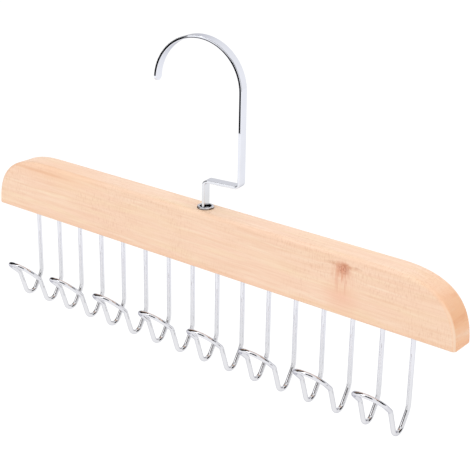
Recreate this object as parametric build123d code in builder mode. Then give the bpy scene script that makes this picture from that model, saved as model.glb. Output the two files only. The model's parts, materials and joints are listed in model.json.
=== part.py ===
from build123d import *
from math import cos, hypot, radians, sin
import os

# Tie hanger: a solid wooden bar that turns below a flat metal hook, with a row of
# bent wire hooks let into its underside.
# The origin is the centre of the hook's bow, where a wardrobe rail lies. X runs along
# the bar, -Y is the side that the wire hooks face, and +Z is up. Millimetres and degrees.

# Wooden bar
bar_height = 37.0
bar_thickness = 18.0
end_margin = 30.0
shoulder_length = 45.0
shoulder_rise_share = 0.82
shoulder_run_share = 0.51
edge_round = 2.4
underside_ease = 0.6

# Flat hook
strip_width = 6.5
strip_thickness = 1.8
strip_edge_round = 0.35
tip_round_share = 0.48
bow_radius = 28.9
bow_sweep = 181.0
bow_setback = 4.9
arm_drop = 57.7
arm_above_bar = 17.8
arm_bend_radius = 2.9
hook_turn = 7.5

# Swivel: the hook's round shank in its ferrule, with a washer and an upset head below
shank_radius = 1.95
shank_play = 0.08
recess_clearance = 0.28
recess_depth = 1.9
strip_end_gap = 0.4
flange_wall = 1.55
flange_thickness = 1.2
flange_round = 0.45
sleeve_wall = 0.75
sleeve_length = 13.0
sleeve_clearance = 0.05
washer_clearance = 0.4
washer_thickness = 0.8
head_overhang = 1.35
head_thickness = 1.8
head_round = 0.6
end_play = 0.1
chamber_depth = 1.5

# Wire hooks: each is one wire, let into the bar at both ends
hook_count = 8
wire_pitch = 20.0
wire_radius = 1.4
socket_depth = 20.0
socket_clearance = 0.1
socket_end_gap = 0.5
neck_drop = 48.0
neck_radius = 12.0
back_slope_reach = 11.9
back_slope_drop = 18.3
trough_radius = 5.2
front_leg_reach = 8.2
front_leg_rise = 24.8
lip_root_radius = 4.0
lip_reach = 12.5
lip_rise = 11.7
lip_straight = 1.0

# The hook's own plane stands on the swivel axis and is turned from the bar's length
swivel_x = bow_setback * cos(radians(hook_turn))
swivel_y = bow_setback * sin(radians(hook_turn))
bar_length = (2 * hook_count - 1) * wire_pitch + 2 * end_margin
bar_top = -(arm_drop + arm_above_bar)
bar_bottom = bar_top - bar_height
hook_plane = Plane(
    origin=(0, 0, 0),
    x_dir=(cos(radians(hook_turn)), sin(radians(hook_turn)), 0),
    z_dir=(sin(radians(hook_turn)), -cos(radians(hook_turn)), 0),
)
side_plane = Plane(origin=(swivel_x, swivel_y, bar_bottom), x_dir=(1, 0, 0), z_dir=(0, -1, 0))


def level(height):
    """A level plane on the swivel axis, with X along the bar."""
    return Plane(origin=(swivel_x, swivel_y, height), x_dir=(1, 0, 0), z_dir=(0, 0, 1))


# Swivel: radii from the strip's end outwards, and heights from the flange down
recess_radius = hypot(strip_width, strip_thickness) / 2 + recess_clearance
flange_radius = recess_radius + flange_wall
sleeve_radius = recess_radius + sleeve_wall
washer_radius = sleeve_radius - washer_clearance
head_radius = shank_radius + head_overhang
flange_top = bar_top + flange_thickness
recess_floor = flange_top - recess_depth
strip_end = recess_floor + strip_end_gap
sleeve_end = bar_top - sleeve_length
washer_bottom = sleeve_end - washer_thickness
head_top = washer_bottom - end_play
head_bottom = head_top - head_thickness
bore_end = head_bottom - chamber_depth

os.makedirs("parts", exist_ok=True)

# Bar: the side outline through the thickness, its long rim rounded over and its underside eased
half_length = bar_length / 2
shoulder_start = half_length - shoulder_length
steep_height = shoulder_rise_share * bar_height
flat_run = half_length - shoulder_length * (1 - shoulder_run_share)
with BuildPart() as bar:
    with BuildSketch(side_plane.offset(bar_thickness / 2)) as side_outline:
        with BuildLine():
            Line((-half_length, 0), (half_length, 0))
            Bezier(
                (half_length, 0),
                (half_length, steep_height),
                (flat_run, bar_height),
                (shoulder_start, bar_height),
            )
            Line((shoulder_start, bar_height), (-shoulder_start, bar_height))
            Bezier(
                (-shoulder_start, bar_height),
                (-flat_run, bar_height),
                (-half_length, steep_height),
                (-half_length, 0),
            )
        make_face()
    extrude(amount=-bar_thickness)
    underside = bar.faces().sort_by(Axis.Z)[0]
    rim_edges = bar.edges() - bar.edges().filter_by(Axis.Y) - underside.edges()
    fillet(rim_edges, radius=edge_round)
    underside = bar.faces().sort_by(Axis.Z)[0]
    fillet(underside.edges(), radius=underside_ease)
    with BuildSketch(level(bar_top)) as swivel_bore:
        Circle(sleeve_radius + sleeve_clearance)
    extrude(amount=bore_end - bar_top, mode=Mode.SUBTRACT)
    with BuildSketch(level(bar_bottom)) as sockets:
        with GridLocations(wire_pitch, wire_pitch, 2 * hook_count, 1):
            Circle(wire_radius + socket_clearance)
    extrude(amount=socket_depth, mode=Mode.SUBTRACT)
bar.part.label = "bar"
export_step(bar.part, "parts/bar.step")

# Hook: one flat strip bent edge-on, its lower end left round as the shank
bow_middle = bow_radius + strip_thickness / 2
with BuildPart() as hook:
    with BuildLine(hook_plane) as hook_line:
        CenterArc((0, 0), bow_middle, 0, bow_sweep)
        FilletPolyline(
            (bow_middle, 0),
            (bow_middle, -arm_drop),
            (bow_setback, -arm_drop),
            (bow_setback, strip_end),
            radius=arm_bend_radius,
        )
    with BuildSketch(Plane(origin=hook_plane.from_local_coords((bow_setback, strip_end)),
                           x_dir=hook_plane.x_dir, z_dir=(0, 0, 1))) as strip_section:
        Rectangle(strip_thickness, strip_width)
    sweep(path=hook_line.line)
    corner_edges = hook.edges().filter_by(GeomType.LINE).sort_by(SortBy.LENGTH)[0:4]
    tip_edges = corner_edges.sort_by(Axis.Z)[-2:]
    fillet(tip_edges, radius=tip_round_share * strip_width)
    lower_end = hook.faces().sort_by(Axis.Z)[0]
    fillet(hook.edges() - lower_end.edges(), radius=strip_edge_round)
    with BuildSketch(level(strip_end)) as shank_section:
        Circle(shank_radius)
    extrude(amount=head_top - strip_end)
    with BuildSketch(level(head_top)) as head_section:
        Circle(head_radius)
    extrude(amount=-head_thickness)
    fillet(hook.edges().group_by(Axis.Z)[0], radius=head_round)
hook.part.label = "hook"
export_step(hook.part, "parts/hook.step")

# Ferrule: a flanged bush pressed into the bar, with a round recess for the strip's end
with BuildPart() as ferrule:
    with BuildSketch(level(bar_top)) as flange_section:
        Circle(flange_radius)
    extrude(amount=flange_thickness)
    fillet(ferrule.edges().group_by(Axis.Z)[-1], radius=flange_round)
    with BuildSketch(level(bar_top)) as sleeve_section:
        Circle(sleeve_radius)
    extrude(amount=-sleeve_length)
    with BuildSketch(level(flange_top)) as recess_section:
        Circle(recess_radius)
    extrude(amount=-recess_depth, mode=Mode.SUBTRACT)
    with BuildSketch(level(sleeve_end)) as bore_section:
        Circle(shank_radius + shank_play)
    extrude(amount=recess_floor - sleeve_end, mode=Mode.SUBTRACT)
ferrule.part.label = "ferrule"
export_step(ferrule.part, "parts/ferrule.step")

# Washer: it carries the ferrule on the shank's head
with BuildPart() as washer:
    with BuildSketch(level(washer_bottom)) as washer_section:
        Circle(washer_radius)
        Circle(shank_radius + shank_play, mode=Mode.SUBTRACT)
    extrude(amount=washer_thickness)
washer.part.label = "washer"
export_step(washer.part, "parts/washer.step")

# Wire hooks: down from the bar, forward round the trough, up to a lip that leans out,
# and across to the second leg
wire_top = socket_depth - socket_end_gap
lip_corner_radius = (wire_pitch - lip_straight) / 2
leg_points = [(0, wire_top), (0, -neck_drop)]
for forward, upward in (
    (back_slope_reach, -back_slope_drop),
    (front_leg_reach, front_leg_rise),
    (lip_reach, lip_rise),
):
    leg_points.append((leg_points[-1][0] - forward, leg_points[-1][1] + upward))
leg_radii = [neck_radius, trough_radius, lip_root_radius, lip_corner_radius]
for number in range(1, hook_count + 1):
    centre_x = swivel_x + (number - (hook_count + 1) / 2) * 2 * wire_pitch
    left_x = centre_x - wire_pitch / 2
    right_x = centre_x + wire_pitch / 2
    points = [(left_x, swivel_y + y, bar_bottom + z) for y, z in leg_points]
    points += [(right_x, swivel_y + y, bar_bottom + z) for y, z in reversed(leg_points)]
    with BuildPart() as wire_hook:
        with BuildLine() as wire_line:
            FilletPolyline(points, radius=leg_radii + leg_radii[::-1])
        with BuildSketch(Plane(origin=points[0], z_dir=(0, 0, -1))) as wire_section:
            Circle(wire_radius)
        sweep(path=wire_line.line)
    wire_hook.part.label = f"wire_hook_{number}"
    export_step(wire_hook.part, f"parts/wire_hook_{number}.step")
    if number == 1:
        print("length of one wire before bending", round(wire_line.wires()[0].length, 1))
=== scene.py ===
# %% [markdown]
# # A wooden tie hanger with wire hooks
# A flat chromed hook turns in the top of a wooden bar, and eight bent wires hang below the
# bar to hold ties and scarves. The sizes come from a CAD model, which is loaded first and
# stays as it is. Each visible piece is then modelled again in its place, with clean faces and
# soft edges, because a CAD mesh is only a heap of loose triangles. Blender counts in metres,
# so sizes in millimetres are written as a number times MM.

# %% Load the CAD model
import json
from math import ceil, cos, pi, radians, sin, tan

import bmesh
import bpy
from mathutils import Matrix, Vector


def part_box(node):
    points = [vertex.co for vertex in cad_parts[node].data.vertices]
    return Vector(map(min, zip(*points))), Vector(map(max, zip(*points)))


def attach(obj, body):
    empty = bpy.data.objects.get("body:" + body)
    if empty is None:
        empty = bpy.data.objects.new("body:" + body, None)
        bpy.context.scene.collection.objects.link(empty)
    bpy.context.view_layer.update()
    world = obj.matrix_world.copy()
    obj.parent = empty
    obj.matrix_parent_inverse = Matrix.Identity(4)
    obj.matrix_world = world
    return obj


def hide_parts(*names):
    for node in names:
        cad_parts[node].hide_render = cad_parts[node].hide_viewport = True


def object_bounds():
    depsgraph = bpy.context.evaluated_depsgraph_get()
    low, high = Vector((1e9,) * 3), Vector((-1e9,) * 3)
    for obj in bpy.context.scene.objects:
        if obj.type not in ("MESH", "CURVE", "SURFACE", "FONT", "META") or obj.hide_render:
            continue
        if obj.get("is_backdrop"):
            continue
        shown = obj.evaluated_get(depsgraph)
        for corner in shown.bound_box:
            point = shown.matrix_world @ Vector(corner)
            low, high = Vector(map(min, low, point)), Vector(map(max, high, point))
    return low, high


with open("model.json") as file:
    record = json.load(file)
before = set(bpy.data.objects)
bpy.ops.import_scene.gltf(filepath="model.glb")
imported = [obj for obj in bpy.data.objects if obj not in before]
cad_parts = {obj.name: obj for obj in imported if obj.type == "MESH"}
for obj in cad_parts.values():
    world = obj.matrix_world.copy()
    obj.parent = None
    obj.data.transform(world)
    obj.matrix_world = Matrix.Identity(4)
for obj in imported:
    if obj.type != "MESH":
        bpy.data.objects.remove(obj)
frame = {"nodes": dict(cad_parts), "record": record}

cad_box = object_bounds()
MM = 0.001


def in_mm(place, digits=1):
    """The coordinates of a place in millimetres, for printing."""
    return [round(c / MM, digits) for c in place]


print("CAD nodes:", ", ".join(sorted(frame["nodes"])))
print("CAD box in mm:", [in_mm(corner) for corner in cad_box])

# %% [markdown]
# ## Ways of working
# Operators act on whatever is selected, as they do for a person at the screen. The CAD pieces
# are still selected after loading, so every step first clears the selection and then picks
# what it needs in code, by place. These few helpers keep the later cells short.

# %% Helpers for selecting and editing
same_point = 0.001 * MM
square_on = 0.99
soft_angle = radians(35)
flat_face_weight = 80


def only(piece):
    """Selects this piece alone and makes it the active one."""
    bpy.ops.object.select_all(action="DESELECT")
    piece.select_set(True)
    bpy.context.view_layer.objects.active = piece


def edit(piece):
    """Enters edit mode on this piece alone, with nothing in it selected."""
    only(piece)
    bpy.ops.object.mode_set(mode="EDIT")
    bpy.ops.mesh.select_mode(type="VERT")
    bpy.ops.mesh.select_all(action="DESELECT")


def leave_edit():
    """Goes back to object mode."""
    bpy.ops.object.mode_set(mode="OBJECT")


def pick(piece, kind, test):
    """Selects the edges, faces or verts for which the test holds, and nothing else."""
    mode = {"verts": "VERT", "edges": "EDGE", "faces": "FACE"}[kind]
    bpy.ops.mesh.select_mode(type=mode)
    bpy.ops.mesh.select_all(action="DESELECT")
    mesh = bmesh.from_edit_mesh(piece.data)
    for part in getattr(mesh, kind):
        if test(part):
            part.select_set(True)
    bmesh.update_edit_mesh(piece.data)


def merge_points():
    """Merges the points of the piece in edit mode that lie on each other."""
    bpy.ops.mesh.select_all(action="SELECT")
    bpy.ops.mesh.remove_doubles(threshold=same_point)


def turn_outwards():
    """Makes every face of the piece in edit mode point outwards."""
    bpy.ops.mesh.select_all(action="SELECT")
    bpy.ops.mesh.normals_make_consistent(inside=False)


def settle(piece):
    """Writes the place, turn and scale into the mesh, so the object sits at the origin."""
    only(piece)
    bpy.ops.object.transform_apply(location=True, rotation=True, scale=True)


def apply_modifier(piece, kind, **settings):
    """Adds one modifier with these settings and applies it at once."""
    only(piece)
    modifier = piece.modifiers.new(kind.title(), kind)
    for name, value in settings.items():
        setattr(modifier, name, value)
    bpy.ops.object.modifier_apply(modifier=modifier.name)


def shade(piece):
    """Shades small angles smooth and keeps the broad flat faces flat."""
    only(piece)
    bpy.ops.object.shade_smooth_by_angle(angle=soft_angle)
    apply_modifier(piece, "WEIGHTED_NORMAL", keep_sharp=True, weight=flat_face_weight)


def report(piece):
    """Prints the size of a piece and how many faces it has."""
    size = [round(side / MM, 1) for side in piece.dimensions]
    print(piece.name, "size in mm", size, "faces", len(piece.data.polygons))


# %% [markdown]
# ## The wooden bar: outline
# The real bar is sawn from a beech board: straight below, flat on top, and cut to a long
# curve at both ends. A cube with bevelled corners could only give round ends, so the outline
# is drawn as a Bezier curve, which has the right long shoulders. It is then turned into a
# mesh and filled. The outline reaches a little below the board, which is cut off later.

# %% Draw the bar's outline and give it thickness
bar_low, bar_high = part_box("bar")
bar_middle = (bar_low + bar_high) / 2
bar_size = bar_high - bar_low
half_length = bar_size.x / 2
shoulder_length = 45 * MM
shoulder_handle_reach = 22 * MM
end_handle_share = 0.82
shoulder = half_length - shoulder_length
shoulder_handle = half_length - shoulder_handle_reach
end_handle = end_handle_share * bar_size.z
spare = 6 * MM
curve_steps = 28
seam_angle = radians(0.05)
rim_round = 2.4 * MM
core_thickness = bar_size.y - 2 * rim_round

bpy.ops.curve.primitive_bezier_curve_add(
    location=(bar_middle.x, bar_high.y - rim_round, bar_low.z), rotation=(pi / 2, 0, 0)
)
bar = bpy.context.object
bar.name = "wood_bar"
spline = bar.data.splines[0]
spline.bezier_points.add(4)
spline.use_cyclic_u = True
spline.resolution_u = curve_steps
outline_points = [
    ((half_length, 0), (half_length, -spare / 3), (half_length, end_handle)),
    ((shoulder, bar_size.z), (shoulder_handle, bar_size.z), (shoulder / 2, bar_size.z)),
    ((-shoulder, bar_size.z), (-shoulder / 2, bar_size.z), (-shoulder_handle, bar_size.z)),
    ((-half_length, 0), (-half_length, end_handle), (-half_length, -spare / 3)),
    ((-half_length, -spare), (-half_length, -spare / 2), (-half_length / 2, -spare)),
    ((half_length, -spare), (half_length / 2, -spare), (half_length, -spare / 2)),
]
for point, (place, before, after) in zip(spline.bezier_points, outline_points):
    point.handle_left_type = point.handle_right_type = "FREE"
    point.co = (*place, 0)
    point.handle_left = (*before, 0)
    point.handle_right = (*after, 0)
only(bar)
bpy.ops.object.convert(target="MESH")
settle(bar)

edit(bar)
merge_points()
bpy.ops.mesh.dissolve_limited(angle_limit=seam_angle)
bpy.ops.mesh.select_all(action="SELECT")
bpy.ops.mesh.edge_face_add()
bpy.ops.mesh.extrude_region_move(TRANSFORM_OT_translate={"value": (0, -core_thickness, 0)})
turn_outwards()
leave_edit()
report(bar)

# %% [markdown]
# ## The wooden bar: rounded rim
# The rim of the board is rounded over with a sander, about 2.4 mm all round, and the edge of
# the underside only eased. Each face is inset in small steps that go inwards by the cosine and
# outwards by the sine, which makes a true quarter circle. A Bevel would have to shrink where
# the outline's points lie close together. The underside is cut flat between the two.

# %% Round the rim and the underside
underside_ease = 0.6 * MM
rim_steps = 7
ease_steps = 4


def round_over(piece, radius, steps, chosen):
    """Grows the chosen face outwards by the radius, with its edge as a quarter circle."""
    edit(piece)
    pick(piece, "faces", chosen)
    for step in range(1, steps + 1):
        before, after = (pi / 2 * (step - 1) / steps, pi / 2 * step / steps)
        bpy.ops.mesh.inset(
            thickness=radius * (cos(before) - cos(after)),
            depth=radius * (sin(after) - sin(before)),
        )
    leave_edit()


round_over(bar, rim_round, rim_steps, lambda face: face.normal.y < -square_on)
round_over(bar, rim_round, rim_steps, lambda face: face.normal.y > square_on)
edit(bar)
bpy.ops.mesh.select_all(action="SELECT")
bpy.ops.mesh.bisect(
    plane_co=(0, 0, bar_low.z + underside_ease),
    plane_no=(0, 0, 1),
    use_fill=True,
    clear_inner=True,
)
leave_edit()
round_over(bar, underside_ease, ease_steps, lambda face: face.normal.z < -square_on)
report(bar)

# %% [markdown]
# ## The wooden bar: drilled holes
# Each wire ends in a blind hole in the underside, and the hook's ferrule sits in a wider hole
# in the top. Seventeen drills are modelled as cylinders and taken away with one Boolean, as
# on a real drilling jig. Holes that were only painted on would look wrong from below.

# %% Drill the bar
hook_count = 8
wire_pitch = 20 * MM
wire_radius = 1.4 * MM
socket_depth = 20 * MM
socket_room = 0.1 * MM
socket_sides = 32
sleeve_radius = 4.4 * MM
bore_depth = 19 * MM
bore_sides = 64

drills = []
for number in range(2 * hook_count):
    x = bar_middle.x + (number - hook_count + 0.5) * wire_pitch
    bpy.ops.object.select_all(action="DESELECT")
    bpy.ops.mesh.primitive_cylinder_add(
        vertices=socket_sides,
        radius=wire_radius + socket_room,
        depth=2 * socket_depth,
        location=(x, bar_middle.y, bar_low.z),
    )
    drills.append(bpy.context.object)
bpy.ops.mesh.primitive_cylinder_add(
    vertices=bore_sides,
    radius=sleeve_radius,
    depth=2 * bore_depth,
    location=(bar_middle.x, bar_middle.y, bar_high.z),
)
drills.append(bpy.context.object)
for drill in drills:
    drill.select_set(True)
bpy.ops.object.join()
drill_set = bpy.context.object
settle(drill_set)
apply_modifier(bar, "BOOLEAN", operation="DIFFERENCE", solver="EXACT", object=drill_set)
bpy.data.objects.remove(drill_set)
report(bar)

# %% [markdown]
# ## The wooden bar: shading
# The planed sides of the real board are flat, and only its narrow rounded rim catches the
# light. Faces that meet at a small angle are shaded smooth, and weighted normals then keep the
# broad sides flat. Last, its CAD node is hidden and the piece rides on the same body instead.

# %% Shade the bar and put it in the CAD node's place
shade(bar)
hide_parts("bar")
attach(bar, "rack")
report(bar)

# %% [markdown]
# ## Bending wire and strip
# The wire hooks and the flat hook are bent on a machine: a straight run, a bend round a peg,
# another run. The same two moves make the mesh. The end of the piece is extruded for a run
# and spun round the peg's centre for a bend, so every bend has its true radius and evenly
# spaced rings. A curve with a round bevel would be quicker, but its bends are never true arcs.

# %% Helpers for runs and bends
bend_step = radians(6)


def run(offset):
    """Extrudes the selected end of a piece by this much."""
    bpy.ops.mesh.extrude_region_move(TRANSFORM_OT_translate={"value": offset})


def bend(corner, heading, turn_to, radius):
    """Spins the selected end round a peg, from one heading to the next."""
    angle = heading.angle(turn_to)
    side = (turn_to - heading * heading.dot(turn_to)).normalized()
    centre = corner - heading * radius * tan(angle / 2) + side * radius
    bpy.ops.mesh.spin(
        steps=ceil(angle / bend_step), angle=angle, center=centre, axis=turn_to.cross(heading)
    )


def follow(corners, radii):
    """Runs and bends the selected end from the first corner to the last one."""
    position = corners[0]
    for corner, following, radius in zip(corners[1:], corners[2:], radii):
        heading = (corner - position).normalized()
        turn_to = (following - corner).normalized()
        reach = radius * tan(heading.angle(turn_to) / 2)
        run(corner - heading * reach - position)
        bend(corner, heading, turn_to, radius)
        position = corner + turn_to * reach
    run(corners[-1] - position)


def close_ends(piece):
    """Merges doubles, caps the open ends and turns every face outwards."""
    merge_points()
    pick(piece, "edges", lambda edge: edge.is_boundary)
    bpy.ops.mesh.edge_face_add()
    turn_outwards()


# %% [markdown]
# ## One wire hook
# Each hook is a single wire. It comes down out of the bar, turns forward into the trough that
# holds a tie, climbs to a lip that leans out, crosses over in a rounded end and goes back the
# same way. A leg is written as its corners, with one step per straight run and one radius per
# bend, as the bending machine is set: neck, back slope, front leg and lip.

# %% Bend the first wire
wire_end_gap = 0.5 * MM
wire_sides = 28
wire_soft_angle = radians(50)
wire_top = bar_low.z + socket_depth - wire_end_gap
first_leg = bar_middle.x - (hook_count - 0.5) * wire_pitch
leg_steps = [
    (0, -48 * MM),
    (-11.9 * MM, -18.3 * MM),
    (-8.2 * MM, 24.8 * MM),
    (-12.5 * MM, 11.7 * MM),
]
leg_radii = [12 * MM, 5.2 * MM, 4 * MM, 9.5 * MM]


def leg_corners(x):
    """The corners of one leg, from its top in the bar to the front of the lip."""
    top = Vector((x, bar_middle.y, wire_top))
    place = Vector((x, bar_middle.y, bar_low.z))
    corners = [top]
    for forward, upward in leg_steps:
        place = place + Vector((0, forward, upward))
        corners.append(place)
    return corners


bpy.ops.object.select_all(action="DESELECT")
bpy.ops.mesh.primitive_circle_add(
    vertices=wire_sides, radius=wire_radius, location=(first_leg, bar_middle.y, wire_top)
)
wire = bpy.context.object
wire.name = "bent_wire_1"
settle(wire)
edit(wire)
bpy.ops.mesh.select_all(action="SELECT")
follow(
    leg_corners(first_leg) + leg_corners(first_leg + wire_pitch)[::-1],
    leg_radii + leg_radii[::-1],
)
close_ends(wire)
leave_edit()
bpy.ops.object.shade_smooth_by_angle(angle=wire_soft_angle)
report(wire)

# %% [markdown]
# ## Eight wire hooks
# All eight hooks are bent on the same pegs, so the other seven are copies of the first, each
# moved on by two spaces between legs. The copies aren't linked: each one has its own mesh,
# because each replaces a CAD node of its own.

# %% Copy the wire hook along the bar
wires = [wire]
for number in range(2, hook_count + 1):
    only(wires[-1])
    bpy.ops.object.duplicate(linked=False)
    bpy.ops.transform.translate(value=(2 * wire_pitch, 0, 0))
    copy = bpy.context.object
    copy.name = f"bent_wire_{number}"
    settle(copy)
    wires.append(copy)
for number, copy in enumerate(wires, start=1):
    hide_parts(f"wire_hook_{number}")
    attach(copy, "rack")
print("wire hooks:", len(wires), "meshes:", len({copy.data.name for copy in wires}))

# %% [markdown]
# ## The flat hook
# The hook is one flat strip, bent over its broad side: up from the bar, sideways, up again and
# over in a half circle, with a rounded tip. It is modelled square to the bar, where its width
# is simply the Y direction, and turned to its place at the end. The section is a rectangle
# whose four corners are rounded first, so the whole strip gets soft edges as it is swept.

# %% Bend the strip
strip_width = 6.5 * MM
strip_thickness = 1.8 * MM
strip_edge_round = 0.35 * MM
corner_steps = 4
bow_radius = frame["record"]["mounts"][0]["dims"]["r_mm"] * MM + strip_thickness / 2
setback = 4.9 * MM
arm_level = -57.7 * MM
arm_bend = 2.9 * MM
strip_sink = 0.3 * MM
strip_end = bar_high.z - strip_sink

bpy.ops.object.select_all(action="DESELECT")
bpy.ops.mesh.primitive_plane_add(size=1, location=(setback, 0, strip_end))
hook = bpy.context.object
hook.name = "flat_hook"
only(hook)
bpy.ops.transform.resize(value=(strip_thickness, strip_width, 1))
settle(hook)
edit(hook)
bpy.ops.mesh.select_all(action="SELECT")
bpy.ops.mesh.bevel(offset=strip_edge_round, segments=corner_steps, affect="VERTICES")
bpy.ops.mesh.select_all(action="SELECT")
bpy.ops.mesh.delete(type="ONLY_FACE")
bpy.ops.mesh.select_all(action="SELECT")
follow(
    [
        Vector((setback, 0, strip_end)),
        Vector((setback, 0, arm_level)),
        Vector((bow_radius, 0, arm_level)),
        Vector((bow_radius, 0, 0)),
    ],
    [arm_bend, arm_bend],
)
print("strip swept up to the bow, whose radius is", round(bow_radius / MM, 2), "mm")

# %% [markdown]
# ## The hook's bow and tip
# The bow goes round the rail's own axis, which is the origin. Near the tip the rings come
# closer together and each one is squeezed in width by the law of a circle, which rounds the
# end of the strip as a press tool does. A bevel of the last edges would cut through the rings
# of the bow.

# %% Bend the bow and round its tip
bow_sweep = radians(181)
bow_steps = 56
tip_round_share = 0.48
tip_steps = 8
turn_axis = (0, 1, 0)
tip_round = tip_round_share * strip_width
tip_angle = tip_round / bow_radius
flat_half = strip_width / 2 - tip_round
bpy.ops.mesh.spin(
    steps=bow_steps, angle=bow_sweep - tip_angle, center=(0, 0, 0), axis=turn_axis
)
for step in range(1, tip_steps + 1):
    before, after = (pi / 2 * (step - 1) / tip_steps, pi / 2 * step / tip_steps)
    bpy.ops.mesh.spin(
        steps=1, angle=tip_angle * (sin(after) - sin(before)), center=(0, 0, 0), axis=turn_axis
    )
    squeeze = (flat_half + tip_round * cos(after)) / (flat_half + tip_round * cos(before))
    bpy.ops.transform.resize(value=(1, squeeze, 1), center_override=(-bow_radius, 0, 0))
close_ends(hook)
leave_edit()
report(hook)

# %% [markdown]
# ## The hook's shank
# Below the strip the real hook is turned down to a round shank, which ends in an upset head
# under a washer, so the bar can turn but never drops off. The shank is a cylinder whose lower
# face is pulled out for the head and whose last edge is rounded. A Boolean union makes strip
# and shank one piece of metal. Then the hook is turned a little out of the bar's plane, as it
# stands in the photo.

# %% Add the shank and its head
shank_radius = 1.95 * MM
shank_sides = 48
head_radius = 3.3 * MM
head_thickness = 1.8 * MM
head_round = 0.6 * MM
end_play = 0.1 * MM
shank_overlap = 0.4 * MM
hook_turn = radians(7.5)
head_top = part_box("washer")[0].z - end_play
head_middle = head_top - head_thickness / 2
shank_top = strip_end + shank_overlap
bpy.ops.object.select_all(action="DESELECT")
bpy.ops.mesh.primitive_cylinder_add(
    vertices=shank_sides,
    radius=shank_radius,
    depth=shank_top - head_top,
    location=(setback, 0, (shank_top + head_top) / 2),
)
shank = bpy.context.object
settle(shank)
edit(shank)
pick(shank, "faces", lambda face: face.normal.z < -square_on)
# Extruded in place and then widened, so that the head has a flat top
run((0, 0, 0))
grow = head_radius / shank_radius
bpy.ops.transform.resize(value=(grow, grow, 1), center_override=(setback, 0, head_top))
run((0, 0, -head_thickness))
pick(shank, "edges", lambda edge: all(point.co.z < head_middle for point in edge.verts))
bpy.ops.mesh.bevel(offset=head_round, segments=corner_steps, affect="EDGES")
leave_edit()
apply_modifier(hook, "BOOLEAN", operation="UNION", solver="EXACT", object=shank)
bpy.data.objects.remove(shank)
only(hook)
bpy.ops.transform.rotate(value=-hook_turn, orient_axis="Z", center_override=(0, 0, 0))
settle(hook)
shade(hook)
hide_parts("hook")
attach(hook, "hook")
report(hook)
tip = min((point.co for point in hook.data.vertices), key=lambda place: place.x)
print("tip is at", in_mm(tip))

# %% [markdown]
# ## The ferrule
# A turned steel bush is pressed into the top of the bar. Its flange shows as a small bright
# ring, and its round recess takes the end of the strip. A turned piece is easiest to make as a
# lathe does: one ring of points, extruded and resized from level to level until it meets its
# own start.

# %% Turn the ferrule
shank_play = 0.08 * MM
recess_radius = 3.65 * MM
recess_depth = 1.9 * MM
flange_radius = 5.2 * MM
flange_round = 0.45 * MM
rim_ease = 0.3 * MM
ferrule_sides = 72
round_steps = 5
ferrule_low, ferrule_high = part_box("ferrule")
ferrule_middle = (ferrule_low + ferrule_high) / 2
shank_bore = shank_radius + shank_play
recess_floor = ferrule_high.z - recess_depth
corner_angles = [pi / 2 * step / round_steps for step in range(round_steps + 1)]
ferrule_profile = [
    (shank_bore, ferrule_low.z),
    (sleeve_radius - rim_ease, ferrule_low.z),
    (sleeve_radius, ferrule_low.z + rim_ease),
    (sleeve_radius, bar_high.z),
    (flange_radius, bar_high.z),
    *[
        (flange_radius - flange_round * (1 - cos(a)), ferrule_high.z - flange_round * (1 - sin(a)))
        for a in corner_angles
    ],
    *[
        (recess_radius + rim_ease * (1 - sin(a)), ferrule_high.z - rim_ease * (1 - cos(a)))
        for a in corner_angles
    ],
    (recess_radius, recess_floor),
    (shank_bore, recess_floor),
    (shank_bore, ferrule_low.z),
]
start_radius, start_level = ferrule_profile[0]
bpy.ops.object.select_all(action="DESELECT")
bpy.ops.mesh.primitive_circle_add(
    vertices=ferrule_sides,
    radius=start_radius,
    location=(ferrule_middle.x, ferrule_middle.y, start_level),
)
ferrule = bpy.context.object
ferrule.name = "turned_ferrule"
settle(ferrule)
edit(ferrule)
bpy.ops.mesh.select_all(action="SELECT")
for (radius, level), (next_radius, next_level) in zip(ferrule_profile, ferrule_profile[1:]):
    run((0, 0, next_level - level))
    grow = next_radius / radius
    bpy.ops.transform.resize(
        value=(grow, grow, 1), center_override=(ferrule_middle.x, ferrule_middle.y, next_level)
    )
merge_points()
turn_outwards()
leave_edit()
shade(ferrule)
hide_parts("ferrule")
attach(ferrule, "rack")
report(ferrule)

# %% [markdown]
# ## Materials: a few node helpers
# Every finish is procedural: it is worked out from the position on the piece, so it looks
# right from any side and needs no pictures. The helpers add a node, feed its inputs, and turn
# display colours into the linear ones that shaders use.

# %% Helpers for materials


def colour(red, green, blue):
    """A display colour, 0 to 255, as the linear colour that a shader wants."""
    share = [c / 255 for c in (red, green, blue)]
    return (*[((c + 0.055) / 1.055) ** 2.4 if c > 0.04045 else c / 12.92 for c in share], 1.0)


def feed(node, entry, value):
    """Gives an input of a node a plain value or the output of another node."""
    if isinstance(value, bpy.types.NodeSocket):
        node.id_data.links.new(value, node.inputs[entry])
    else:
        node.inputs[entry].default_value = value


def add(tree, kind, entries=None, **settings):
    """Adds a shader node, with its settings and what goes into its inputs."""
    node = tree.nodes.new("ShaderNode" + kind)
    for name, value in settings.items():
        setattr(node, name, value)
    for entry, value in (entries or {}).items():
        feed(node, entry, value)
    return node


def new_material(name):
    """A new material, its node tree, its main shader and the place on the piece."""
    material = bpy.data.materials.new(name)
    material.use_nodes = True
    tree = material.node_tree
    place = add(tree, "TexCoord").outputs["Object"]
    return material, tree, tree.nodes["Principled BSDF"], place


def stretch(tree, place, scale, shift=(0, 0, 0)):
    """The place, moved and then scaled differently along X, Y and Z."""
    moved = add(tree, "VectorMath", {0: place, 1: shift}, operation="ADD")
    scaled = add(tree, "VectorMath", {0: moved.outputs[0], 1: scale}, operation="MULTIPLY")
    return scaled.outputs[0]


def noise(tree, place, scale, detail=3.0, roughness=0.5):
    """Soft random values from 0 to 1, with so many steps of finer detail."""
    entries = {"Vector": place, "Scale": scale, "Detail": detail, "Roughness": roughness}
    return add(tree, "TexNoise", entries).outputs[0]


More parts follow.
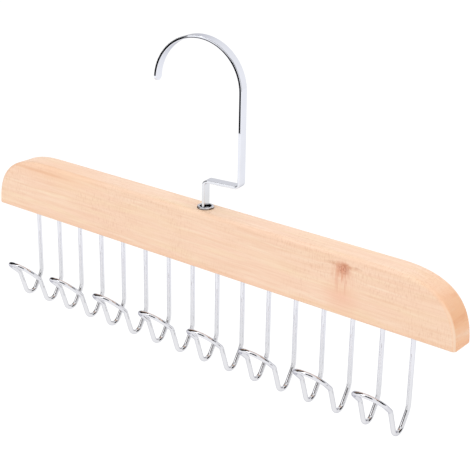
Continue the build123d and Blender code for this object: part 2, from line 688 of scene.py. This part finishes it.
def remap(tree, value, low, high, to_low=0.0, to_high=1.0):
    """The value from low to high as a value from to_low to to_high, held at both ends."""
    entries = {0: value, 1: low, 2: high, 3: to_low, 4: to_high}
    return add(tree, "MapRange", entries).outputs[0]


def maths(tree, operation, first, second=0.0):
    """The result of one operation on one or two values."""
    return add(tree, "Math", {0: first, 1: second}, operation=operation).outputs[0]


def blend_colours(tree, share, first, second, way="MIX"):
    """The first colour where the share is 0, the second where it is 1."""
    node = add(tree, "Mix", {0: share, 6: first, 7: second}, data_type="RGBA", blend_type=way)
    return node.outputs[2]


def bumps(tree, height, strength, distance):
    """A slightly uneven surface, for the shader's normal."""
    entries = {"Height": height, "Strength": strength, "Distance": distance}
    return add(tree, "Bump", entries).outputs[0]


def dress(piece, material):
    """Gives a piece this material alone."""
    piece.data.materials.clear()
    piece.data.materials.append(material)


# %% [markdown]
# ## Pale varnished beech: ground colour
# Beech is a pale peach with cloudy pinker and yellower areas, long and soft along the board.
# They come from two noises that are stretched along the length. One flat colour would look
# like plastic, because the colour of a real board drifts from end to end.

# %% Make the cloudy ground of the beech
pale_peach = colour(251, 216, 188)
pink_peach = colour(252, 214, 187)
yellow_peach = colour(251, 221, 184)
beech, tree, shader, place = new_material("varnished_beech")


def wood_noise(scale, detail=3.0, roughness=0.5, shift=(0, 0, 0), at=place):
    """Noise with its own scale along X, Y and Z. The shift picks another part of it."""
    return noise(tree, stretch(tree, at, scale, shift), 1.0, detail, roughness)


clouds = wood_noise((11, 60, 60))
ground = blend_colours(tree, remap(tree, clouds, 0.35, 0.65), pale_peach, pink_peach)
banks = wood_noise((18, 130, 130), detail=2.0, shift=(0.3, 0, 0))
ground = blend_colours(tree, remap(tree, banks, 0.5, 0.75, 0.0, 0.7), ground, yellow_peach)
print("nodes for the ground colour:", len(tree.nodes))

# %% [markdown]
# ## Pale varnished beech: growth lines
# Growth lines are rings round the heart of the tree, which lay far below the board, so they
# run along the faces and curve over the ends by themselves. A wave alone looks like corduroy,
# so a noise fades the lines in and out. They also bend round the knot, because a knot is a
# twig that the trunk grew around: the place is pushed down there before the rings are drawn.

# %% Add the growth lines
knot_place = bar_middle + Vector((107.04, -9.04, 9.7)) * MM
knot_push = -2.2 * MM
tree_heart = Vector((0, -55, -205)) * MM
line_brown = colour(240, 192, 154)


def spot(middle_place, half_sizes):
    """1 in the middle of a soft spot and 0 outside it. The half sizes are in millimetres."""
    scale = [1 / (size * MM) for size in half_sizes]
    offset = stretch(tree, place, scale, -middle_place)
    far = add(tree, "VectorMath", {0: offset}, operation="LENGTH").outputs[1]
    return remap(tree, far, 1.0, 0.1)


bulge = spot(knot_place, (16, 12, 9))
pushed = add(tree, "CombineXYZ", {2: maths(tree, "MULTIPLY", bulge, knot_push)}).outputs[0]
bent_place = add(tree, "VectorMath", {0: place, 1: pushed}, operation="ADD").outputs[0]
rings = add(
    tree,
    "TexWave",
    {
        "Vector": stretch(tree, bent_place, (0.05, 1, 1), -tree_heart),
        "Scale": 76.0,
        "Distortion": 14.0,
        "Detail": 4.0,
        "Detail Scale": 0.6,
        "Detail Roughness": 0.7,
    },
    wave_type="RINGS",
    rings_direction="X",
    wave_profile="SIN",
).outputs["Fac"]
seen = remap(tree, wood_noise((14, 45, 70), 2.0, shift=(0.7, 0, 0)), 0.35, 0.7, 0.0, 0.26)
line_share = maths(tree, "MULTIPLY", remap(tree, rings, 0.45, 1.0), seen)
lined = blend_colours(tree, line_share, ground, line_brown)
print("knot at", in_mm(knot_place))

# %% [markdown]
# ## Pale varnished beech: fibres and ray flecks
# Darker and paler fibres run along the board, each a few tenths of a millimetre wide. The
# short upright flecks are ray cells, which tell beech from other pale woods. They stand in
# patches, so a second, broad noise says where they show.

# %% Add the fibres and the flecks
fibre_brown = colour(234, 186, 148)
fibre_cream = colour(255, 228, 202)
fleck_brown = colour(216, 160, 122)

fibres = wood_noise((36, 800, 800), 4.0, 0.7, at=bent_place)
dark_share = remap(tree, fibres, 0.42, 0.7, 0.0, 0.4)
pale_fibres = wood_noise((30, 500, 500), 3.0, 0.6, shift=(0, 0, 0.4), at=bent_place)
pale_share = remap(tree, pale_fibres, 0.52, 0.72, 0.0, 0.55)
fibred = blend_colours(tree, dark_share, lined, fibre_brown)
fibred = blend_colours(tree, pale_share, fibred, fibre_cream)
flecks = remap(tree, wood_noise((1500, 500, 300), 2.0), 0.52, 0.66, 0.0, 0.26)
patches = remap(tree, wood_noise((22, 40, 40), 1.0), 0.42, 0.6, 0.15, 1.0)
surface = blend_colours(tree, maths(tree, "MULTIPLY", flecks, patches), fibred, fleck_brown)
print("nodes with fibres and flecks:", len(tree.nodes))

# %% [markdown]
# ## Pale varnished beech: streak and knot
# A reddish streak in a wide faint haze follows the upper edge near the left end. The knot is a
# small reddish brown spot just below the front upper edge. Wings run from it along the grain, a
# trail of upright fibres hangs under it, and a blush surrounds the trail. Each is a soft spot
# of one stain, and most are broken up by a noise, so that no outline looks drawn.

# %% Stain the streak and the knot


def lay_colours(surface, colour_layers):
    """Lays colours over the wood in turn, each where its share is 1, up to its strength."""
    for share, strength, stain in colour_layers:
        cover = maths(tree, "MULTIPLY", share, strength)
        surface = blend_colours(tree, cover, surface, stain)
    return surface


def broken_spot(from_place, offset, half_sizes, breaks):
    """A soft spot, so many millimetres from a place, broken up by a noise."""
    return maths(tree, "MULTIPLY", spot(from_place + Vector(offset) * MM, half_sizes), breaks)


ragged = remap(tree, wood_noise((420, 300, 620), 4.0, 0.7), 0.36, 0.6)
upright = remap(tree, wood_noise((900, 300, 70)), 0.42, 0.58)
specks = remap(tree, wood_noise((1100, 300, 900), 2.0), 0.4, 0.56)
haze = spot(bar_middle + Vector((-122.86, -6.64, 15)) * MM, (56, 14, 10))
streak = broken_spot(bar_middle, (-140.86, -9.04, 13.4), (44, 4, 1.5), fibres)
blush = broken_spot(knot_place, (0, 0, -15), (14, 6, 14), clouds)
wings = broken_spot(knot_place, (0.5, 0, 2.6), (14, 6, 2.2), ragged)
trail = broken_spot(knot_place, (0, 0, -5), (9, 6, 12), upright)
core = spot(knot_place + Vector((-0.4, 0, 0)) * MM, (5.6, 6, 6))
heart = broken_spot(knot_place, (0.4, 0, 0.4), (5, 6, 3.6), specks)
colour_layers = [
    (haze, 0.55, colour(249, 198, 158)),
    (streak, 1.0, colour(230, 168, 118)),
    (blush, 0.8, colour(246, 184, 154)),
    (wings, 1.0, colour(204, 136, 96)),
    (trail, 0.85, colour(228, 160, 126)),
    (core, 0.85, colour(222, 152, 118)),
    (heart, 0.9, colour(186, 108, 80)),
]
surface = lay_colours(surface, colour_layers)
print("stains on the face:", len(colour_layers))

# %% [markdown]
# ## Pale varnished beech: edges and end grain
# The sawn ends are more orange, because end grain drinks more varnish, and the growth rings
# show there as paler and darker bands. The lower edge gets painted warm bounce light, a
# slightly warmer colour. The rounded corner between face and end gets a painted highlight in a
# paler colour. The normal tells the three apart: it points along X on an end, along Y on a
# face, and halfway between them on that corner.

# %% Colour the ends, and paint bounce light on the lower edge and a highlight on the corner
bounce_light_height = 4 * MM
height = add(tree, "SeparateXYZ", {0: place}).outputs[2]
facing = add(tree, "SeparateXYZ", {0: tree.nodes["Texture Coordinate"].outputs["Normal"]})
endways = maths(tree, "ABSOLUTE", facing.outputs[0])
sideways = maths(tree, "ABSOLUTE", facing.outputs[1])
bands = wood_noise((8, 25, 190), 3.0, 0.6)

# Painted warm bounce light on the lower edge, fading out upwards.
painted_bounce_light = remap(tree, height, bar_low.z + bounce_light_height, bar_low.z)
end_share = remap(tree, endways, 0.12, 0.9)
pale_bands = maths(tree, "MULTIPLY", end_share, remap(tree, bands, 0.52, 0.66))
dark_bands = maths(tree, "MULTIPLY", end_share, remap(tree, bands, 0.42, 0.32))
# Painted highlight: the rounded corner between face and end is painted paler.
corner = remap(tree, maths(tree, "MULTIPLY", endways, sideways), 0.3, 0.48)
colour_layers = [
    (painted_bounce_light, 0.35, colour(242, 184, 142)),
    (end_share, 0.9, colour(255, 194, 146)),
    (pale_bands, 0.5, colour(255, 222, 194)),
    (dark_bands, 0.5, colour(244, 174, 128)),
    (corner, 0.7, colour(255, 226, 200)),
]
surface = lay_colours(surface, colour_layers)
print("stains on the edges and ends:", len(colour_layers))

# %% [markdown]
# ## Pale varnished beech: varnish
# A thin satin varnish lets the fibres be felt a little. So the wood itself stays fairly rough,
# with its fibres in the roughness and in a very low bump, and a thin smoother coat lies on it.

# %% Varnish the beech and dress the bar
fibre_depth = 0.04 * MM
feed(shader, "Base Color", surface)
feed(shader, "Roughness", remap(tree, fibres, 0.2, 0.8, 0.38, 0.52))
feed(shader, "Coat Weight", 0.25)
feed(shader, "Coat Roughness", 0.22)
feed(shader, "Normal", bumps(tree, fibres, 0.1, fibre_depth))
dress(bar, beech)
print(beech.name, "nodes", len(tree.nodes))

# %% [markdown]
# ## Bright chrome
# Plated wire and strip mirror the white studio, and darken where the surface turns away from
# the eye. Chromium really does that: its reflection dips just before grazing angles, which
# the shader's specular tint gives. Polishing leaves faint ripples and slightly duller
# patches, so the roughness and a very small bump vary along the metal. The colour also changes
# by height, as painted reflection and painted shade of what is near: the wires are painted a
# little darker at their troughs, the strip a little bluer above the bar, and the ferrule dark
# at its foot, where it meets the wood. One recipe with two tints and the levels between which
# they change gives all three finishes.

# %% Make the chrome finishes
polish_depth = 0.02 * MM


def plated(name, low_colour_with_painted_shade, high_colour_with_painted_reflection, low_level, high_level, edge_tint, ripple):
    """A bright plated metal whose colour goes from a painted shade tint to a painted reflection
    tint between two levels.
    """
    material, tree, shader, place = new_material(name)
    level = add(tree, "SeparateXYZ", {0: place}).outputs[2]
    # The colour by height is painted shade low down and painted reflection higher up.
    painted_shade_and_reflection = blend_colours(tree, remap(tree, level, low_level, high_level), low_colour_with_painted_shade, high_colour_with_painted_reflection)
    ripples = noise(tree, place, 90.0, 1.0)
    scratches = noise(tree, place, 2600.0, 2.0, 0.6)
    clouded = remap(tree, noise(tree, place, 60.0), 0.3, 0.7, 0.96, 1.0)
    duller = add(tree, "CombineColor", {0: clouded, 1: clouded, 2: clouded}).outputs[0]
    feed(shader, "Base Color", blend_colours(tree, 1.0, painted_shade_and_reflection, duller, "MULTIPLY"))
    feed(shader, "Metallic", 1.0)
    feed(shader, "Specular Tint", edge_tint)
    feed(shader, "Roughness", remap(tree, scratches, 0.3, 0.7, 0.01, 0.035))
    feed(shader, "Normal", bumps(tree, ripples, ripple, polish_depth))
    return material


# The wires' darker troughs are painted shade, and their lighter upper parts painted reflection.
chrome = plated(
    "bright_chrome",
    low_colour_with_painted_shade=colour(226, 226, 229),
    high_colour_with_painted_reflection=colour(232, 232, 238),
    low_level=bar_low.z - 44.5 * MM,
    high_level=bar_low.z - 20.5 * MM,
    edge_tint=colour(200, 200, 208),
    ripple=0.02,
)
# The strip's bluer colour higher above the bar is painted reflection.
strip = plated(
    "strip_chrome",
    low_colour_with_painted_shade=colour(224, 224, 224),
    high_colour_with_painted_reflection=colour(235, 237, 245),
    low_level=bar_high.z + 1.5 * MM,
    high_level=bar_high.z + 25.5 * MM,
    edge_tint=colour(206, 206, 211),
    ripple=0.03,
)
# The ferrule's near-black foot, where it meets the wood, is painted shade.
turned = plated(
    "turned_chrome",
    low_colour_with_painted_shade=colour(60, 58, 60),
    high_colour_with_painted_reflection=colour(226, 226, 230),
    low_level=bar_high.z + 0.35 * MM,
    high_level=bar_high.z + 0.75 * MM,
    edge_tint=colour(180, 180, 188),
    ripple=0.1,
)
for piece in wires:
    dress(piece, chrome)
dress(hook, strip)
dress(ferrule, turned)
print(chrome.name, strip.name, turned.name)

# %% [markdown]
# ## Zinc plated washer
# The washer between the ferrule and the shank's head is never seen from outside, so its CAD
# shape stays and only gets a finish: dull grey zinc with turning marks round its axis. The
# marks are a sine of the distance from that axis, which gives one about every 0.15 mm.

# %% Dress the washer
mark_radians_per_metre = 42000.0
mark_depth = 0.02 * MM
light_zinc = colour(176, 178, 180)
dark_zinc = colour(150, 152, 156)
zinc, tree, shader, place = new_material("zinc_plate")
axis_place = stretch(tree, place, (1, 1, 0), (-bar_middle.x, -bar_middle.y, 0))
from_axis = add(tree, "VectorMath", {0: axis_place}, operation="LENGTH").outputs[1]
marks = maths(tree, "SINE", maths(tree, "MULTIPLY", from_axis, mark_radians_per_metre))
spangle = noise(tree, place, 900.0)
feed(shader, "Base Color", blend_colours(tree, spangle, light_zinc, dark_zinc))
feed(shader, "Metallic", 1.0)
feed(shader, "Roughness", remap(tree, spangle, 0.3, 0.7, 0.35, 0.5))
feed(shader, "Normal", bumps(tree, marks, 0.2, mark_depth))
washer = frame["nodes"]["washer"]
dress(washer, zinc)
print(zinc.name, "on", washer.name)

# %% [markdown]
# ## White surroundings
# The hanger hangs in a white studio. What the camera and the metal see of the surroundings is
# plain white, while the light on the object stays at a level that shows colours as they are
# written. Light Path tells the two apart. More light would make the background white too, but
# it would wash out the wood.

# %% Make the world
white = (1.0, 1.0, 1.0, 1.0)
sky_strength = 0.95


def seen_directly(tree):
    """1 for rays from the camera or off a mirror, 0 for light that falls on things."""
    path = add(tree, "LightPath").outputs
    mirrored = maths(tree, "MAXIMUM", path["Is Glossy Ray"], path["Is Transmission Ray"])
    return maths(tree, "MAXIMUM", path["Is Camera Ray"], mirrored)


world = bpy.data.worlds.new("studio")
world.use_nodes = True
bpy.context.scene.world = world
tree = world.node_tree
sky = tree.nodes["Background"]
feed(sky, "Color", white)
feed(sky, "Strength", sky_strength)
backdrop = add(tree, "Background", {"Color": white, "Strength": 1.0})
surroundings = add(
    tree, "MixShader", {0: seen_directly(tree), 1: sky.outputs[0], 2: backdrop.outputs[0]}
)
feed(tree.nodes["World Output"], "Surface", surroundings.outputs[0])
print("sky strength", sky_strength)

# %% [markdown]
# ## Pale floor
# The floor lies well below the hanger, as under a photographer's clamp. The camera sees white
# paper: part of it glows by itself, and the rest is really shaded, so a shadow still falls on
# it. The light that the floor throws up on the hanger comes from plain matte paper instead.

# %% Lay the floor
floor_drop = 0.9
floor_size = 12
floor_glow = 0.62
matte_grey = (0.8, 0.8, 0.8, 1.0)
shadow_grey = (0.45, 0.45, 0.45, 1.0)
bpy.ops.object.select_all(action="DESELECT")
bpy.ops.mesh.primitive_plane_add(size=floor_size, location=(0, 0, cad_box[0].z - floor_drop))
floor = bpy.context.object
floor.name = "studio_floor"
paper, tree, shader, place = new_material("floor_paper")
tree.nodes.remove(shader)
matte = add(tree, "BsdfDiffuse", {"Color": matte_grey})
shaded = add(tree, "BsdfDiffuse", {"Color": shadow_grey})
glow = add(tree, "Emission", {"Color": white, "Strength": floor_glow})
lit_paper = add(tree, "AddShader", {0: shaded.outputs[0], 1: glow.outputs[0]})
paper_shader = add(
    tree, "MixShader", {0: seen_directly(tree), 1: matte.outputs[0], 2: lit_paper.outputs[0]}
)
feed(tree.nodes["Material Output"], "Surface", paper_shader.outputs[0])
dress(floor, paper)
floor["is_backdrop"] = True
print("floor at", round(floor.location.z, 3))

# %% [markdown]
# ## Lamp
# One large soft lamp stands in front, above and to the left, where the photographer's window
# or softbox was. It is big and near, so the shadows stay soft.

# %% Set up the lamp
lamp_place = Vector((-0.7, -1.5, 1.5))
lamp_side = 1.4
lamp_power = 9.5
lamp_data = bpy.data.lights.new("key_softbox", "AREA")
lamp_data.shape = "SQUARE"
lamp_data.size = lamp_side
lamp_data.energy = lamp_power
lamp = bpy.data.objects.new("key_softbox", lamp_data)
bpy.context.scene.collection.objects.link(lamp)
lamp.location = lamp_place
lamp.rotation_euler = (bar_middle - lamp_place).to_track_quat("-Z", "Y").to_euler()
print("key lamp", lamp_power, "W")

# %% [markdown]
# ## Dark cards for the metal
# In an all white room chrome looks like grey paint. In the photo the dark room behind the
# camera shows in the metal: as black dashes on the bends of the wires and a black line along
# the thin edge of the hook, with the white softbox between them. Cards that are seen only in
# reflections stand in for that room. Each one is given by the angles between which it is
# seen from the bar, or from the bow for the two narrow ones, as if the room were mapped on a
# globe.

# %% Hang the dark cards
card_distance = 1.5
card_black = (0.004, 0.004, 0.004, 1.0)
bow_middle = Vector((0, 0, 0))
black, tree, shader, place = new_material("black_card")
feed(shader, "Base Color", card_black)
feed(shader, "Roughness", 1.0)
feed(shader, "Specular IOR Level", 0.0)


def dark_card(name, from_side, to_side, from_height, to_height, seen_from=bar_middle):
    """Hangs a card that is seen between these degrees round the hanger and above the level."""
    turn = radians((from_side + to_side) / 2)
    rise = radians((from_height + to_height) / 2)
    away = Vector((cos(turn) * cos(rise), sin(turn) * cos(rise), sin(rise)))
    bpy.ops.object.select_all(action="DESELECT")
    bpy.ops.mesh.primitive_plane_add(size=1, location=seen_from + away * card_distance)
    card = bpy.context.object
    card.name = name
    width = 2 * card_distance * tan(radians(to_side - from_side) / 2) * cos(rise)
    height = 2 * card_distance * tan(radians(to_height - from_height) / 2)
    card.scale = (width, height, 1)
    card.rotation_euler = away.to_track_quat("Z", "Y").to_euler()
    dress(card, black)
    card.visible_camera = card.visible_diffuse = card.visible_shadow = False
    card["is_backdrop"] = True
    return card


cards = [
    dark_card("card_left", -214, -142, -12, 64),
    dark_card("card_front", -110, -53, 8, 55),
    dark_card("card_right", 0, 57, -8, 49),
    dark_card("card_edge_left", -124, -115.6, -17.8, -7, bow_middle),
    dark_card("card_edge_right", -115.6, -109, -17.8, -11.6, bow_middle),
]
print("cards:", ", ".join(card.name for card in cards))

# %% [markdown]
# ## Camera
# The photo's viewpoint was worked out from the bar and the evenly spaced wires: the camera
# stood to the right in front, a little above, and looked down at the hanger. Its three
# directions are written straight into the camera's matrix, which keeps the small roll.

# %% Place the camera
image_side = 470
focal_pixels = 1197.08
sensor_width = 36.0
camera_place = Vector((0.44146, -0.53136, 0.1796))
yaw, pitch, roll = radians(37.849), radians(21.647), radians(1.046)
forward = Vector((-sin(yaw) * cos(pitch), cos(yaw) * cos(pitch), -sin(pitch)))
level_right = Vector((cos(yaw), sin(yaw), 0))
level_up = level_right.cross(forward)
right = cos(roll) * level_right + sin(roll) * level_up
up = cos(roll) * level_up - sin(roll) * level_right
camera_data = bpy.data.cameras.new("camera")
camera_data.sensor_width = sensor_width
camera_data.lens = sensor_width * focal_pixels / image_side
camera = bpy.data.objects.new("camera", camera_data)
bpy.context.scene.collection.objects.link(camera)
turned_to_view = Matrix((right, up, -forward)).transposed().to_4x4()
camera.matrix_world = Matrix.Translation(camera_place) @ turned_to_view
bpy.context.scene.camera = camera
bpy.context.scene.view_settings.view_transform = "Standard"
print("lens", round(camera_data.lens, 2), "mm")

# %% [markdown]
# ## The size of the new pieces
# The new pieces have to fill the same space as the CAD model, so both boxes are printed side
# by side.

# %% Print both boxes
visual_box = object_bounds()
boxes = {"cad": [list(c) for c in cad_box], "visual": [list(c) for c in visual_box]}
for name, corners in boxes.items():
    print(name, [in_mm(corner, 2) for corner in corners])
